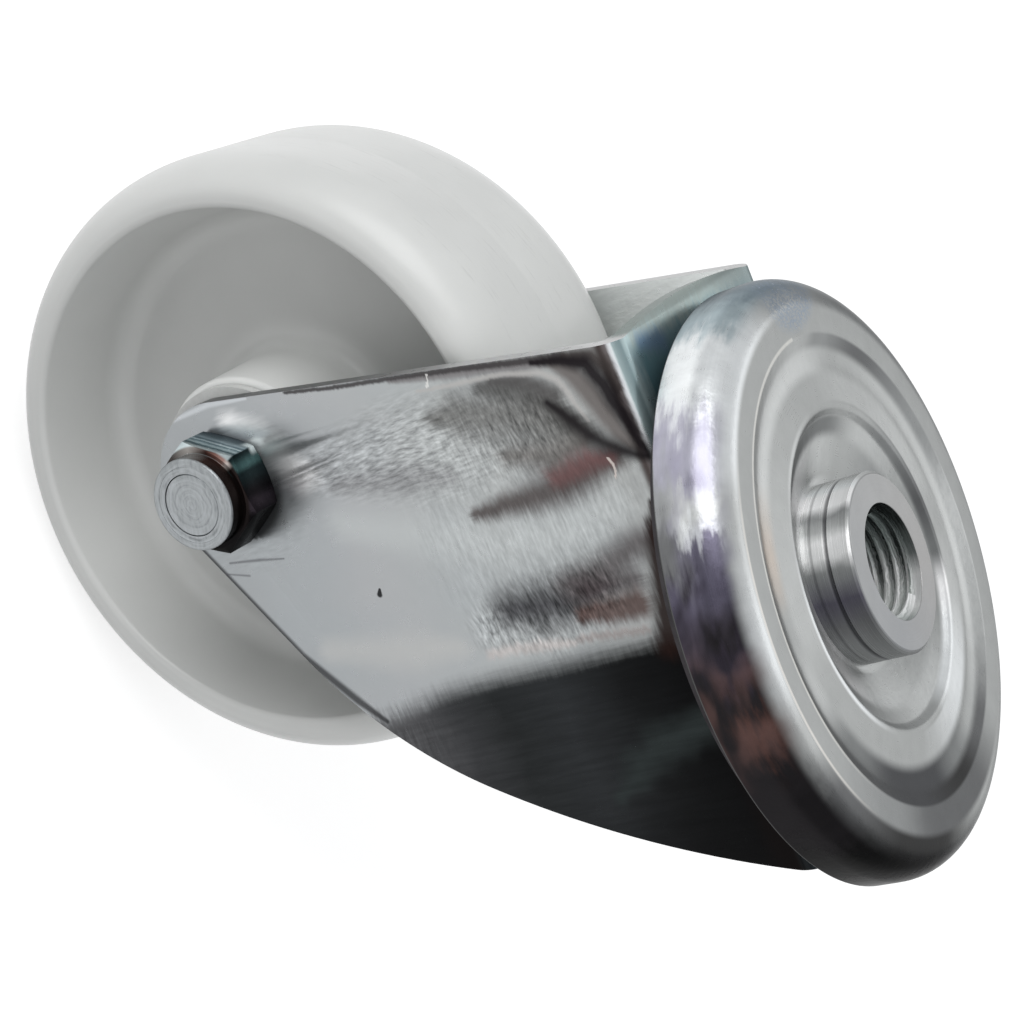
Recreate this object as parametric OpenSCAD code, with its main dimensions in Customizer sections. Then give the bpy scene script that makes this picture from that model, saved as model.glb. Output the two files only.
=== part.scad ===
// Swivel castor with a pressed steel fork, a one-piece nylon wheel and a threaded
// bush in its swivel head. The origin is the mouth of the threaded hole, +Z is the
// swivel axis and points out of the hole, the axle lies along Y and the fork trails
// towards -X.

/* [Wheel] */
// Diameter over the tread
wheel_d = 80; // [76:0.5:82]
// Width of the rim
wheel_w = 32; // [29:0.5:33]
// How far the rounded rim edge reaches in from the tread
rim_edge_in = 4.6; // [3.5:0.1:5]
// How far the rounded rim edge reaches along the tread
rim_edge_along = 8; // [6:0.5:10]
// Thickness of the rim wall at its foot, beside the web
rim_foot = 8.5; // [7:0.25:10]
// Thickness of the rim at its lip
rim_lip = 6; // [5.5:0.1:6.8]
// Thickness of the web
web_t = 5; // [4:0.25:8]
// Diameter of the hub
hub_d = 25.6; // [24.5:0.2:30]
// Length of the hub
hub_l = 33.4; // [31:0.2:33.6]

/* [Axle] */
// Diameter of the axle bolt
bolt_d = 8; // [7.6:0.1:8.2]
// Width across the flats of the bolt head and the nut
hex_af = 13; // [12.5:0.1:14]
// Height of the bolt head
bolt_head_h = 5.3; // [4.5:0.1:6]
// Height of the hexagon of the lock nut
nut_hex_h = 5.6; // [5:0.1:6]
// Height of the round collar of the lock nut
nut_collar_h = 2.4; // [2:0.1:3]
// Diameter of the round collar of the lock nut
nut_collar_d = 11.8; // [11:0.1:12]
// Outer diameter of the axle sleeve
sleeve_d = 12; // [11:0.1:12.5]
// Diameter of a bearing roller
roller_d = 3.6; // [3:0.1:3.8]
// Length of a bearing roller
roller_l = 27; // [20:0.5:28]
// Number of bearing rollers
roller_count = 10; // [7:1:10]
// Outer diameter of the two thrust washers
thrust_d = 24; // [21:0.5:26]
// Thickness of a thrust washer
thrust_t = 1.2; // [0.8:0.05:1.3]

/* [Fork] */
// Thickness of the fork sheet
sheet_t = 2.5; // [2:0.1:3]
// Outer radius of the two folds
fold_r = 3; // [3:0.1:4]
// Distance of the axle behind the swivel axis
trail = 36; // [32:0.5:38]
// Depth of the axle below the mouth of the threaded hole
axle_drop = 70.8; // [69:0.2:76]
// Radius of the round leg tips
tip_r = 10.8; // [10:0.1:12]
// Reach of the crown behind the swivel axis, at its corners
crown_back = 36.8; // [35.5:0.1:38]
// How far the curved back edge of the crown swells out between its corners
crown_bulge = 1.5; // [0.5:0.1:2.5]
// Slope of the leading edge where it leaves the leg tip
lead_slope = 27; // [25:0.5:29]
// Length of the straight stretch of the leading edge
lead_straight = 21; // [18:0.5:24]
// Radius of the lower bend of the leading edge
lead_low_r = 60; // [54:1:66]
// Radius of the upper bend of the leading edge
lead_high_r = 132; // [120:1:144]

/* [Swivel head] */
// Diameter of the pressed top cap
cap_d = 72.5; // [71.5:0.5:75]
// Thickness of the cap sheet
cap_t = 2; // [1.6:0.1:2.2]
// Height of the outer ring of the cap above its centre
cap_rise = 4.4; // [4:0.1:5]
// Depth of the cap from its outer ring to its lower edge
cap_depth = 7.8; // [7.4:0.1:8.4]
// Radius of the rounded rim of the cap
cap_rim_r = 5; // [4.6:0.1:5.4]
// Distance from the step inside the outer ring out to the path of the upper balls
track_run = 1.9; // [1.6:0.1:2.6]
// Depth of the groove inside the outer ring
groove_depth = 1.1; // [0.7:0.1:1.4]
// Diameter of the crest of the inner ring
ring_inner_d = 39; // [37:0.5:41]
// Depth of the crest of the inner ring below the outer ring
ring_inner_depth = 0.45; // [0.3:0.05:0.7]
// Diameter of an upper ball
upper_ball_d = 6.35; // [6:0.05:6.5]
// Space between two upper balls
upper_ball_space = 0.9; // [0.5:0.1:2]
// Thickness of the crown race
crown_race_t = 2.5; // [2:0.1:3]
// Diameter of a lower ball
lower_ball_d = 4.76; // [4.5:0.02:5]
// Space between two lower balls
lower_ball_space = 0.55; // [0.3:0.05:1.5]
// Thickness of the lower race
lower_race_t = 1.6; // [1.2:0.1:1.8]

/* [Threaded bush] */
// Diameter of the collar that stands out of the cap
boss_d = 22; // [20.5:0.5:22]
// Height of the collar
boss_h = 6.3; // [5.8:0.1:7]
// Diameter of the shank below the collar
shank_d = 18; // [17.5:0.1:18.2]
// Diameter of the bore over the crests of the thread
thread_crest_d = 12.4; // [12:0.05:12.8]
// Diameter of the chamfered mouth of the bore
mouth_d = 14.2; // [13.8:0.1:15]
// Diameter of the riveted end
rivet_d = 22.5; // [21:0.5:23]
// Height of the riveted end
rivet_h = 1.8; // [1.4:0.1:2.2]

/* [Hidden] */
$fn = 64;
// Working clearances: a running fit, a rolling fit, a seat and the free gaps
run_fit = 0.06;
roll_gap = 0.03;
seat_gap = 0.05;
free_gap = 0.5;
leg_clear = 0.8;
thrust_play = 0.15;
rim_gap = 0.875;
seal_drop = 0.5;
collar_gap = 0.32;
bolt_play = 0.1;
cage_gap = 0.35;
// Depth of the ball grooves and the wrap of a groove round its ball
groove_in = 0.35;
groove_wrap = 1.06;
// Wall of the crown race outside its balls, wall of the collar round the shank, lip and
// bend of the lower cup, angle of the lead-in
race_lip = 2.2;
collar_wall = 2;
cup_lip_wall = 1.32;
cup_corner_r = 1.5;
lead_in_angle = 30;
// Where the slopes of the cap start and end beside its rings
dish_step = 0.8;
crest_half = 0.9;
crest_fall = 0.85;
groove_run = 2.6;
// Bend radii of the cap: at the dish foot and top, the crest, the groove and its step
dish_bends = [2, 1.2];
crest_bend = 1;
groove_bend = 4;
step_bend = 0.9;
// Small edge breaks and the overrun of a cut past the face it leaves
edge_break = 0.4;
over = 1;
// Points on a rounded corner of an outline, and on the leading edge
corner_steps = 6;
edge_steps = 10;

// Heights of the swivel head, from the mouth of the threaded hole downwards
cap_seat_z = -boss_h;
ring_z = cap_seat_z + cap_rise;
cap_low_z = ring_z - cap_depth;
cap_under_z = cap_seat_z - cap_t;
race_top_z = ring_z - cap_t - upper_ball_d + groove_in - 2 * roll_gap;
crown_z = race_top_z - crown_race_t;
crown_under_z = crown_z - sheet_t;
upper_ball_z = race_top_z - groove_in + roll_gap + upper_ball_d / 2;
seal_t = 0.8;
seal_low_z = race_top_z - seal_drop - seal_t;
lower_ball_z = crown_under_z + groove_in - roll_gap - lower_ball_d / 2;
lower_track_z = lower_ball_z - lower_ball_d / 2 - roll_gap;
lower_seat_z = lower_track_z + groove_in;
rivet_washer_t = 1;
rivet_z = lower_seat_z - lower_race_t - rivet_washer_t;

// Radii of the swivel head
cap_r = cap_d / 2;
boss_r = boss_d / 2;
shank_r = shank_d / 2;
collar_r = shank_r + collar_wall;
clear_r = collar_r + free_gap;
upper_track_r = cap_r - cap_t - rim_gap - upper_ball_d / 2;
ring_outer_r = upper_track_r - track_run;
race_r = upper_track_r + race_lip;
cap_bend = min(cap_rim_r, cap_r - ring_outer_r - step_bend);
dish_r = boss_r + dish_step;
dish_out_r = ring_inner_d / 2 - crest_half;
dish_out_drop = ring_inner_depth + crest_fall;
lower_track_r = collar_r + collar_gap + lower_ball_d / 2;
lower_race_r = lower_track_r + lower_ball_d / 2 + cup_lip_wall;

// The wheel and its bearing
wheel_r = wheel_d / 2;
axle_x = -trail;
axle_z = -axle_drop;
// The legs stand clear of the hub with its thrust washers, and of the lower race
leg_gap = max(hub_l + 2 * thrust_t + 4 * thrust_play, 2 * (lower_race_r + leg_clear));
leg_out = leg_gap / 2 + sheet_t;
fold_inner_r = fold_r - sheet_t + 0.3;
sleeve_r = sleeve_d / 2;
bolt_r = bolt_d / 2;
hub_bore_r = sleeve_r + roller_d + 2 * roll_gap;
roller_track_r = sleeve_r + roll_gap + roller_d / 2;
cage_l = hub_l - 2 * free_gap;
thrust_y = leg_gap / 2 - (leg_gap - hub_l) / 4;
// Moulded radii of the wheel, the draft of its hub and the flat of its lip
hub_edge_r = 0.8;
hub_foot_r = 3;
hub_draft = 0.6;
rim_foot_r = 3.5;
lip_flat = 0.2;
lip_edge_r = min(1, rim_lip - rim_edge_in - lip_flat);
nut_h = nut_hex_h + nut_collar_h;
nut_recess_h = 1.6;
nut_recess_r = bolt_r + 0.9;
nut_lip = 0.2;
nut_collar_bevel = 0.7;
bolt_end = leg_out + nut_h - nut_lip;
bolt_washer_t = 1.6;
bolt_washer_d = 2 * bolt_d;
rivet_washer_r = rivet_d / 2 + 0.6;

// Point at a distance and an angle from a centre
function polar(c, r, a) = c + r * [cos(a), sin(a)];

// Points along an arc, both ends included
function arc(c, r, a0, a1, n) = [for (i = [0:n]) polar(c, r, a0 + (a1 - a0) * i / n)];

function unit(v) = v / norm(v);
function turn(a) = a > 180 ? a - 360 : a < -180 ? a + 360 : a;
function angle_of(v) = atan2(v[1], v[0]);

// One corner of an outline, rounded where its third number is a radius
function corner(p, q, s) =
    let (b = [q[0], q[1]], u = unit([p[0], p[1]] - b), v = unit([s[0], s[1]] - b),
         half = acos(u * v) / 2)
    len(q) < 3 || q[2] == 0 || half > 89 ? [b] :
    let (c = b + unit(u + v) * q[2] / sin(half), back = q[2] / tan(half),
         a0 = angle_of(b + u * back - c), da = turn(angle_of(b + v * back - c) - a0))
    arc(c, q[2], a0, a0 + da, corner_steps);

// An open path with its inner corners rounded
function rounded(pts) = [for (i = [0:len(pts) - 1])
    each i == 0 || i == len(pts) - 1 ? [[pts[i][0], pts[i][1]]]
        : corner(pts[i - 1], pts[i], pts[i + 1])];

// The normal of a path at one of its points, to the right of its direction
function seg_normal(a, b) = let (d = unit(b - a)) [d[1], -d[0]];
function path_normal(p, i) =
    i == 0 ? seg_normal(p[0], p[1]) :
    i == len(p) - 1 ? seg_normal(p[i - 1], p[i]) :
    let (m = seg_normal(p[i - 1], p[i]), n = seg_normal(p[i], p[i + 1]))
    (m + n) / (1 + m * n);

// Outline of a sheet whose upper face follows a path
function sheet_outline(p, t) = concat(p,
    [for (i = [len(p) - 1:-1:0]) p[i] + t * path_normal(p, i)]);

// A solid of revolution about the axle, from an outline of radius and width
module about_axle(y = 0) translate([axle_x, y, axle_z]) rotate([-90, 0, 0]) children();

// A ring about the swivel axis
module ring(r_out, r_in, z_low, z_high) translate([0, 0, z_low]) difference() {
    cylinder(r = r_out, h = z_high - z_low);
    translate([0, 0, -over]) cylinder(r = r_in, h = z_high - z_low + 2 * over);
}

// The groove that a circle of balls rolls in, below them (1) or above them (-1)
module ball_groove(track_r, ball_d, z, side) rotate_extrude()
    translate([track_r, z + side * ((groove_wrap - 1) * ball_d / 2 - roll_gap)])
        circle(r = ball_d / 2 * groove_wrap);

// As many balls as the path has room for
module ball_circle(track_r, ball_d, z, space) {
    count = floor(2 * PI * track_r / (ball_d + space));
    for (i = [0:count - 1]) rotate([0, 0, 360 * i / count]) translate([track_r, 0, z])
        sphere(d = ball_d, $fn = 24);
}

// A hexagon with its corners turned off at the chosen ends, standing on z = 0
module hexagon_body(af, h, chamfer_low, chamfer_high) {
    hex_r = af / 2 / cos(30);
    flat_r = af / 2 - 0.1;
    drop = (hex_r - flat_r) * tan(30);
    intersection() {
        cylinder(r = hex_r, h = h, $fn = 6);
        rotate_extrude() polygon([[0, 0],
            [chamfer_low ? flat_r : hex_r + over, 0],
            [hex_r + (chamfer_low ? 0 : over), chamfer_low ? drop : 0],
            [hex_r + (chamfer_high ? 0 : over), h - (chamfer_high ? drop : 0)],
            [chamfer_high ? flat_r : hex_r + over, h], [0, h]]);
    }
}

// The threaded bush: its collar stands in the dish of the cap, its shank carries
// both races and its end is riveted over
module king_bush() color("silver") {
    split = -boss_h / 2;
    lead_in = (mouth_d - thread_crest_d) / 2 * tan(lead_in_angle);
    rivet_slope = 0.6 * rivet_h;
    difference() {
        rotate_extrude() polygon([
            [0, 0], [boss_r - edge_break, 0], [boss_r, -edge_break],
            [boss_r, split + edge_break], [boss_r - edge_break / 2, split],
            [boss_r, split - edge_break], [boss_r, cap_seat_z],
            [shank_r, cap_seat_z], [shank_r, rivet_z],
            [rivet_d / 2, rivet_z], [rivet_d / 2 - edge_break, rivet_z - rivet_slope],
            [rivet_d / 2 - rivet_h, rivet_z - rivet_h], [0, rivet_z - rivet_h]]);
        translate([0, 0, rivet_z - rivet_h - over])
            cylinder(d = thread_crest_d, h = -rivet_z + rivet_h + 2 * over);
        translate([0, 0, -lead_in]) rotate_extrude() polygon([
            [0, 0], [thread_crest_d / 2, 0], [mouth_d / 2, lead_in],
            [mouth_d / 2, lead_in + over], [0, lead_in + over]]);
    }
}

// Upper face of the cap, from its centre hole out over both rings and down the rim
cap_path = rounded([
    [shank_r + seat_gap, cap_seat_z],
    [dish_r, cap_seat_z, dish_bends[0]],
    [dish_out_r, ring_z - dish_out_drop, dish_bends[1]],
    [ring_inner_d / 2, ring_z - ring_inner_depth, crest_bend],
    [ring_outer_r - groove_run, ring_z - groove_depth, groove_bend],
    [ring_outer_r, ring_z, step_bend],
    [cap_r, ring_z, cap_bend],
    [cap_r, cap_low_z]]);

module top_cap() color("silver") rotate_extrude()
    polygon(sheet_outline(cap_path, cap_t));

// Sets the play of both ball races
module distance_collar() color("darkgray")
    ring(collar_r, shank_r + seat_gap, lower_seat_z, cap_under_z);

// Pressed cup that the lower balls run in, its lip turned up round them
module lower_race() color("silver") difference() {
    rotate_extrude() polygon(sheet_outline(rounded([
        [shank_r + seat_gap, lower_seat_z],
        [lower_race_r - lower_race_t, lower_seat_z, cup_corner_r],
        [lower_race_r - lower_race_t, lower_ball_z + lower_ball_d / 4]]), lower_race_t));
    ball_groove(lower_track_r, lower_ball_d, lower_ball_z, 1);
}

module rivet_washer() color("dimgray")
    ring(rivet_washer_r, shank_r + seat_gap, rivet_z, rivet_z + rivet_washer_t);

// Side outline of a leg, from the leg tip round the leading edge and up past the crown;
// the leading edge turns through these two angles on its way
low_turn = 29;
high_turn = 22;
tip_c = [axle_x, axle_z];
lead_start = polar(tip_c, tip_r, lead_slope - 90);
lead_bend = lead_start + lead_straight * [cos(lead_slope), sin(lead_slope)];
low_c = polar(lead_bend, lead_low_r, lead_slope + 90);
high_start = polar(low_c, lead_low_r, lead_slope - 90 + low_turn);
high_c = polar(high_start, lead_high_r, lead_slope + low_turn + 90);
high_end = polar(high_c, lead_high_r, lead_slope + low_turn + high_turn - 90);
crown_corner = [-crown_back, crown_z];
back_side = crown_corner - tip_c;
tip_end = angle_of(back_side) + acos(tip_r / norm(back_side));

leg_outline = concat(
    arc(low_c, lead_low_r, lead_slope - 90, lead_slope - 90 + low_turn, edge_steps),
    arc(high_c, lead_high_r, lead_slope - 90 + low_turn,
        lead_slope - 90 + low_turn + high_turn, edge_steps),
    [[high_end[0], over], [crown_corner[0], over], crown_corner],
    arc(tip_c, tip_r, tip_end, lead_slope + 270, 2 * edge_steps));

// Section of the folded channel across the fork
module channel_section(half, r) {
    top = crown_z - (leg_out - half);
    translate([-half, -axle_drop - tip_r - over])
        square([2 * half, top - r + axle_drop + tip_r + over]);
    translate([-half + r, top - 2 * r]) square([2 * (half - r), 2 * r]);
    for (s = [-1, 1]) translate([s * (half - r), top - r]) circle(r = r);
}

module along_x(l) rotate([90, 0, 90]) translate([0, 0, -l / 2]) linear_extrude(l) children();

// The back edge of the crown, curved outwards between its corners
module crown_swell() {
    half = leg_out - fold_r;
    r = (half * half + crown_bulge * crown_bulge) / 2 / crown_bulge;
    translate([-crown_back - crown_bulge, 0, crown_under_z]) intersection() {
        translate([r, 0, 0]) cylinder(r = r, h = sheet_t);
        translate([0, -half, 0]) cube([crown_bulge + over, 2 * half, sheet_t]);
    }
}

// The fork is one folded sheet: the crown turns down into both legs
module fork() color("lightgray") {
    reach = 4 * wheel_d;
    crown_swell();
    difference() {
        intersection() {
            along_x(reach) channel_section(leg_out, fold_r);
            translate([0, leg_out + over, 0]) rotate([90, 0, 0])
                linear_extrude(2 * (leg_out + over)) polygon(leg_outline);
        }
        along_x(reach) channel_section(leg_gap / 2, fold_inner_r);
        about_axle(-leg_out - over) cylinder(r = bolt_r + bolt_play, h = 2 * (leg_out + over));
        ring(clear_r, 0, crown_under_z - over, crown_z + over);
        ball_groove(lower_track_r, lower_ball_d, lower_ball_z, -1);
    }
}

// The race on the crown, hidden under the cap
module crown_race() color("silver") difference() {
    ring(race_r, clear_r, crown_z, race_top_z);
    ball_groove(upper_track_r, upper_ball_d, upper_ball_z, 1);
}

module upper_balls() color("gainsboro")
    ball_circle(upper_track_r, upper_ball_d, upper_ball_z, upper_ball_space);

module lower_balls() color("gainsboro")
    ball_circle(lower_track_r, lower_ball_d, lower_ball_z, lower_ball_space);

// Closes the gap between the race and the inside of the cap
module dust_seal() color("dimgray")
    ring(cap_r - cap_t - free_gap, race_r, seal_low_z, seal_low_z + seal_t);

module axle_sleeve() color("silver") about_axle(-leg_gap / 2) difference() {
    cylinder(r = sleeve_r, h = leg_gap);
    translate([0, 0, -over]) cylinder(r = bolt_r + bolt_play, h = leg_gap + 2 * over);
}

module axle_bolt() color("silver") about_axle() {
    head_y = leg_out + bolt_washer_t;
    translate([0, 0, head_y]) hexagon_body(hex_af, bolt_head_h, false, true);
    translate([0, 0, -bolt_end]) rotate_extrude() polygon([
        [0, 0], [bolt_r - edge_break, 0], [bolt_r, edge_break],
        [bolt_r, bolt_end + head_y + over], [0, bolt_end + head_y + over]]);
}

module bolt_washer() color("silver") about_axle(leg_out) difference() {
    cylinder(d = bolt_washer_d, h = bolt_washer_t);
    translate([0, 0, -over]) cylinder(r = bolt_r + bolt_play, h = bolt_washer_t + 2 * over);
}

// Hexagon and round collar of the lock nut, with the recess that its insert sits in
module nut_body() color("silver") about_axle(-leg_out) mirror([0, 0, 1]) difference() {
    union() {
        hexagon_body(hex_af, nut_hex_h, true, true);
        translate([0, 0, nut_hex_h - over]) rotate_extrude() polygon([
            [0, 0], [nut_collar_d / 2, 0], [nut_collar_d / 2, nut_collar_h + over - nut_collar_bevel],
            [nut_collar_d / 2 - nut_collar_bevel, nut_collar_h + over], [0, nut_collar_h + over]]);
    }
    translate([0, 0, -over]) cylinder(r = bolt_r + seat_gap, h = nut_h + 2 * over);
    translate([0, 0, nut_h - nut_recess_h]) cylinder(r = nut_recess_r, h = nut_recess_h + over);
}

module nut_insert() color("gray") about_axle(-leg_out - nut_h + nut_lip) difference() {
    cylinder(r = nut_recess_r, h = nut_recess_h - nut_lip);
    translate([0, 0, -over]) cylinder(r = bolt_r + seat_gap, h = nut_recess_h + 2 * over);
}

// Half section of the wheel from the hub bore out to the tread, as radius and width
wheel_half = let (hw = wheel_w / 2, hl = hub_l / 2, web = web_t / 2, hub_r = hub_d / 2)
    concat([[hub_bore_r, hl - edge_break]],
        rounded([[hub_bore_r + edge_break, hl], [hub_r, hl, hub_edge_r],
            [hub_r + hub_draft, web, hub_foot_r],
            [wheel_r - rim_foot, web, rim_foot_r], [wheel_r - rim_lip, hw, lip_edge_r],
            [wheel_r - rim_edge_in - lip_flat, hw]]),
        [for (i = [0:edge_steps]) let (a = 90 - 90 * i / edge_steps)
            [wheel_r - rim_edge_in * (1 - cos(a)),
             hw - rim_edge_along * (1 - sin(a))]]);

module wheel() color("whitesmoke") about_axle() rotate_extrude()
    polygon(concat(wheel_half,
        [for (i = [len(wheel_half) - 1:-1:0]) [wheel_half[i][0], -wheel_half[i][1]]]));

module roller_cage() color("gray") about_axle(-cage_l / 2) difference() {
    cylinder(r = hub_bore_r - cage_gap, h = cage_l);
    translate([0, 0, -over]) cylinder(r = sleeve_r + cage_gap, h = cage_l + 2 * over);
    for (i = [0:roller_count - 1]) rotate([0, 0, 360 * i / roller_count])
        translate([roller_track_r, 0, (cage_l - roller_l) / 2 - roll_gap])
            cylinder(d = roller_d + 2 * seat_gap, h = roller_l + 2 * roll_gap, $fn = 32);
}

module rollers() color("gainsboro") about_axle(-roller_l / 2)
    for (i = [0:roller_count - 1]) rotate([0, 0, 360 * i / roller_count])
        translate([roller_track_r, 0, 0]) cylinder(d = roller_d, h = roller_l, $fn = 32);

module thrust_washer(side) color("gray") about_axle(side * thrust_y - thrust_t / 2) difference() {
    cylinder(d = thrust_d, h = thrust_t);
    translate([0, 0, -over]) cylinder(r = sleeve_r + run_fit, h = thrust_t + 2 * over);
}

module thrust_washer_near() thrust_washer(-1);
module thrust_washer_far() thrust_washer(1);

king_bush();
top_cap();
distance_collar();
lower_race();
rivet_washer();
fork();
crown_race();
upper_balls();
lower_balls();
dust_seal();
axle_sleeve();
axle_bolt();
bolt_washer();
nut_body();
nut_insert();
wheel();
roller_cage();
rollers();
thrust_washer_near();
thrust_washer_far();
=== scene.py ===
# Looks of a swivel castor: nylon wheel, folded zinc fork, dished head, threaded bush
import math

import bmesh
import bpy
from mathutils import Matrix, Vector


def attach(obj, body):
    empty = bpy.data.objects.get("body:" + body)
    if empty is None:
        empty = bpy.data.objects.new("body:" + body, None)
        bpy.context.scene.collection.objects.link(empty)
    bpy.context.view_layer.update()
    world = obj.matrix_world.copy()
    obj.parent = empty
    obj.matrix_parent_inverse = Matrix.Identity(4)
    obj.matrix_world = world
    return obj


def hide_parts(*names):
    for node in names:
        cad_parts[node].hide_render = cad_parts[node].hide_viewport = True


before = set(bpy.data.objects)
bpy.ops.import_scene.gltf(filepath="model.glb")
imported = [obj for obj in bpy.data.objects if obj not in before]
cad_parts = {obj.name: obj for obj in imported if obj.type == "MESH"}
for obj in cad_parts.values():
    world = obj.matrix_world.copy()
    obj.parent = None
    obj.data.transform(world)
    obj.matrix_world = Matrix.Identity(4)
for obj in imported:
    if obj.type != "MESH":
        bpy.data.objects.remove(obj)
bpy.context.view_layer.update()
print("frame loaded")

mm = 0.001
axleX, axleZ = -36.0, -70.8  # the axle, in mm
mergeWithin = 2e-6  # points closer than this are one, in m


class Settings(dict):  # a dictionary whose entries are read with a dot
    __getattr__ = dict.__getitem__


# Shader maths: a wire is one socket of a material, and sums on wires add Math nodes to it
class Wire:
    def __init__(self, look, socket):
        self.look = look
        self.socket = socket

    def math(self, kind, *others):
        return self.look.node("ShaderNodeMath", {"operation": kind}, dict(enumerate((self, *others))))

    def __add__(self, other): return self.math("ADD", other)
    def __radd__(self, other): return self.math("ADD", other)
    def __sub__(self, other): return self.math("SUBTRACT", other)
    def __rsub__(self, other): return (self * -1).math("ADD", other)
    def __mul__(self, other): return self.math("MULTIPLY", other)
    def __rmul__(self, other): return self.math("MULTIPLY", other)
    def __truediv__(self, other): return self.math("DIVIDE", other)
    def __pow__(self, other): return self.math("POWER", other)


class Look:
    def __init__(self, name, **constants):
        self.material = bpy.data.materials.new(name)
        self.material.use_nodes = True
        self.tree = self.material.node_tree
        self.shader = self.tree.nodes["Principled BSDF"]
        for socket, value in constants.items():
            self.shader.inputs[socket].default_value = value

    def node(self, kind, settings=None, values=None, out=0):
        made = self.tree.nodes.new(kind)
        for key, value in (settings or {}).items():
            if key == "stops":
                steps = made.color_ramp.elements
                while len(steps) > 1:
                    steps.remove(steps[-1])
                steps[0].position, steps[0].color = value[0][0], (*value[0][1], 1)
                for place, colour in value[1:]:
                    steps.new(place).color = (*colour, 1)
            elif key == "interpolation":
                made.color_ramp.interpolation = value
            else:
                setattr(made, key, value)
        for key, value in (values or {}).items():
            socket = made.inputs[key]
            if isinstance(value, Wire):
                self.tree.links.new(value.socket, socket)
            else:
                socket.default_value = value
        return Wire(self, made.outputs[out])

    def feed(self, socket, wire):
        self.tree.links.new(wire.socket, self.shader.inputs[socket])

    def finish(self, colour, rough, height, strength, distance):
        self.feed("Base Color", colour)
        self.feed("Roughness", rough)
        self.feed("Normal", self.node("ShaderNodeBump", None, {
            "Height": height, "Strength": strength, "Distance": distance}))
        return self

    def place(self):  # Object coordinates in mm, as three wires and one vector
        coords = self.node("ShaderNodeTexCoord", out="Object")
        inMm = vectorMath("SCALE", self, {0: coords, "Scale": 1000.0})
        split = self.node("ShaderNodeSeparateXYZ", None, {0: inMm})
        parts = split.socket.node.outputs
        return Wire(self, parts[0]), Wire(self, parts[1]), Wire(self, parts[2]), inMm


# Helpers on wires: each adds its nodes to the material of the wire that it is given
def vector(x, y, z):
    return x.look.node("ShaderNodeCombineXYZ", None, {0: x, 1: y, 2: z})


def vectorMath(kind, look, values, out=0):
    return look.node("ShaderNodeVectorMath", {"operation": kind}, values, out)


def noise(place, scale, detail=3.0, rough=0.55, twist=0.0):
    return place.look.node("ShaderNodeTexNoise", None, {
        "Vector": place, "Scale": scale, "Detail": detail, "Roughness": rough, "Distortion": twist})


def grain(x, y, z, detail=3.0, rough=0.6):  # noise around 0 on stretched coordinates
    return noise(vector(x, y, z), 1.0, detail, rough) - 0.5


def fade(value, low, high):  # 0 at low, 1 at high, soft between
    return value.look.node("ShaderNodeMapRange", {"interpolation_type": "SMOOTHSTEP"},
                           {0: value, 1: float(low), 2: float(high)})


def between(value, low, high, soft):
    return fade(value, low - soft, low + soft) * (1 - fade(value, high - soft, high + soft))


def spot(u, v, at, size, turn=0.0, core=0.35):  # a soft oval patch
    c, s = math.cos(math.radians(turn)), math.sin(math.radians(turn))
    along = (u * c + v * s - (at[0] * c + at[1] * s)) / size[0]
    across = (v * c - u * s - (at[1] * c - at[0] * s)) / size[1]
    return 1 - fade(along * along + across * across, core, 1.0)


def stroke(u, v, points, core=0.0):  # a soft brush line through (u, v, half width)
    nearest, here, look = None, vector(u, v, 0.0), u.look
    for (startU, startV, startWide), (endU, endV, endWide) in zip(points, points[1:]):
        du, dv = endU - startU, endV - startV
        length = du * du + dv * dv
        out = vectorMath("SUBTRACT", look, {0: here, 1: (startU, startV, 0)})
        along = vectorMath("DOT_PRODUCT", look, {0: out, 1: (du / length, dv / length, 0)}, "Value")
        along = along.math("MAXIMUM", 0).math("MINIMUM", 1)
        foot = vectorMath("SCALE", look, {0: (du, dv, 0), "Scale": along})
        away = vectorMath("DISTANCE", look, {0: out, 1: foot}, "Value")
        away = away / along.math("MULTIPLY_ADD", endWide - startWide, startWide)
        nearest = away if nearest is None else nearest.math("MINIMUM", away)
    return 1 - fade(nearest, core, 1.0)


def mix(share, first, second, kind="MIX"):
    look = next(value.look for value in (share, first, second) if isinstance(value, Wire))
    first, second = (value if isinstance(value, Wire) else (*value, 1) for value in (first, second))
    made = look.node("ShaderNodeMix", {"data_type": "RGBA", "blend_type": kind}, {0: share, 6: first, 7: second})
    return Wire(look, made.socket.node.outputs[2])


def scaled(colour, share):  # a colour made lighter or darker
    return mix(1.0, colour, vector(share, share, share), "MULTIPLY")


def ramp(share, stops, smooth="LINEAR"):  # stops as (place, red, green, blue), or (place, colour)
    stops = [(place, colour[0] if len(colour) == 1 else tone(*colour)) for place, *colour in stops]
    return share.look.node("ShaderNodeValToRGB", {"interpolation": smooth, "stops": stops}, {0: share})


def tone(red, green=None, blue=None):  # display values 0 to 255 as a linear colour
    green = red if green is None else green
    blue = red if blue is None else blue
    return tuple(((c / 255 + 0.055) / 1.055) ** 2.4 if c > 10 else c / 255 / 12.92
                 for c in (red, green, blue))


# Modelling helpers
def clearSelection():
    if bpy.context.object and bpy.context.object.mode != "OBJECT":
        bpy.ops.object.mode_set(mode="OBJECT")
    bpy.ops.object.select_all(action="DESELECT")


def makeActive(*pieces):  # all are selected, the first is the active one
    clearSelection()
    for piece in pieces:
        piece.select_set(True)
    bpy.context.view_layer.objects.active = pieces[0]


def setMode(mode):
    bpy.ops.object.mode_set(mode=mode)


def selectMesh():
    bpy.ops.mesh.select_all(action="SELECT")


def turnOutward():
    selectMesh()
    bpy.ops.mesh.normals_make_consistent(inside=False)


def finishPiece(piece, smoothAngle=35):
    setMode("OBJECT")
    makeActive(piece)
    bpy.ops.object.transform_apply(location=True, rotation=True, scale=True)
    bpy.ops.object.shade_smooth_by_angle(angle=math.radians(smoothAngle))


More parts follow.
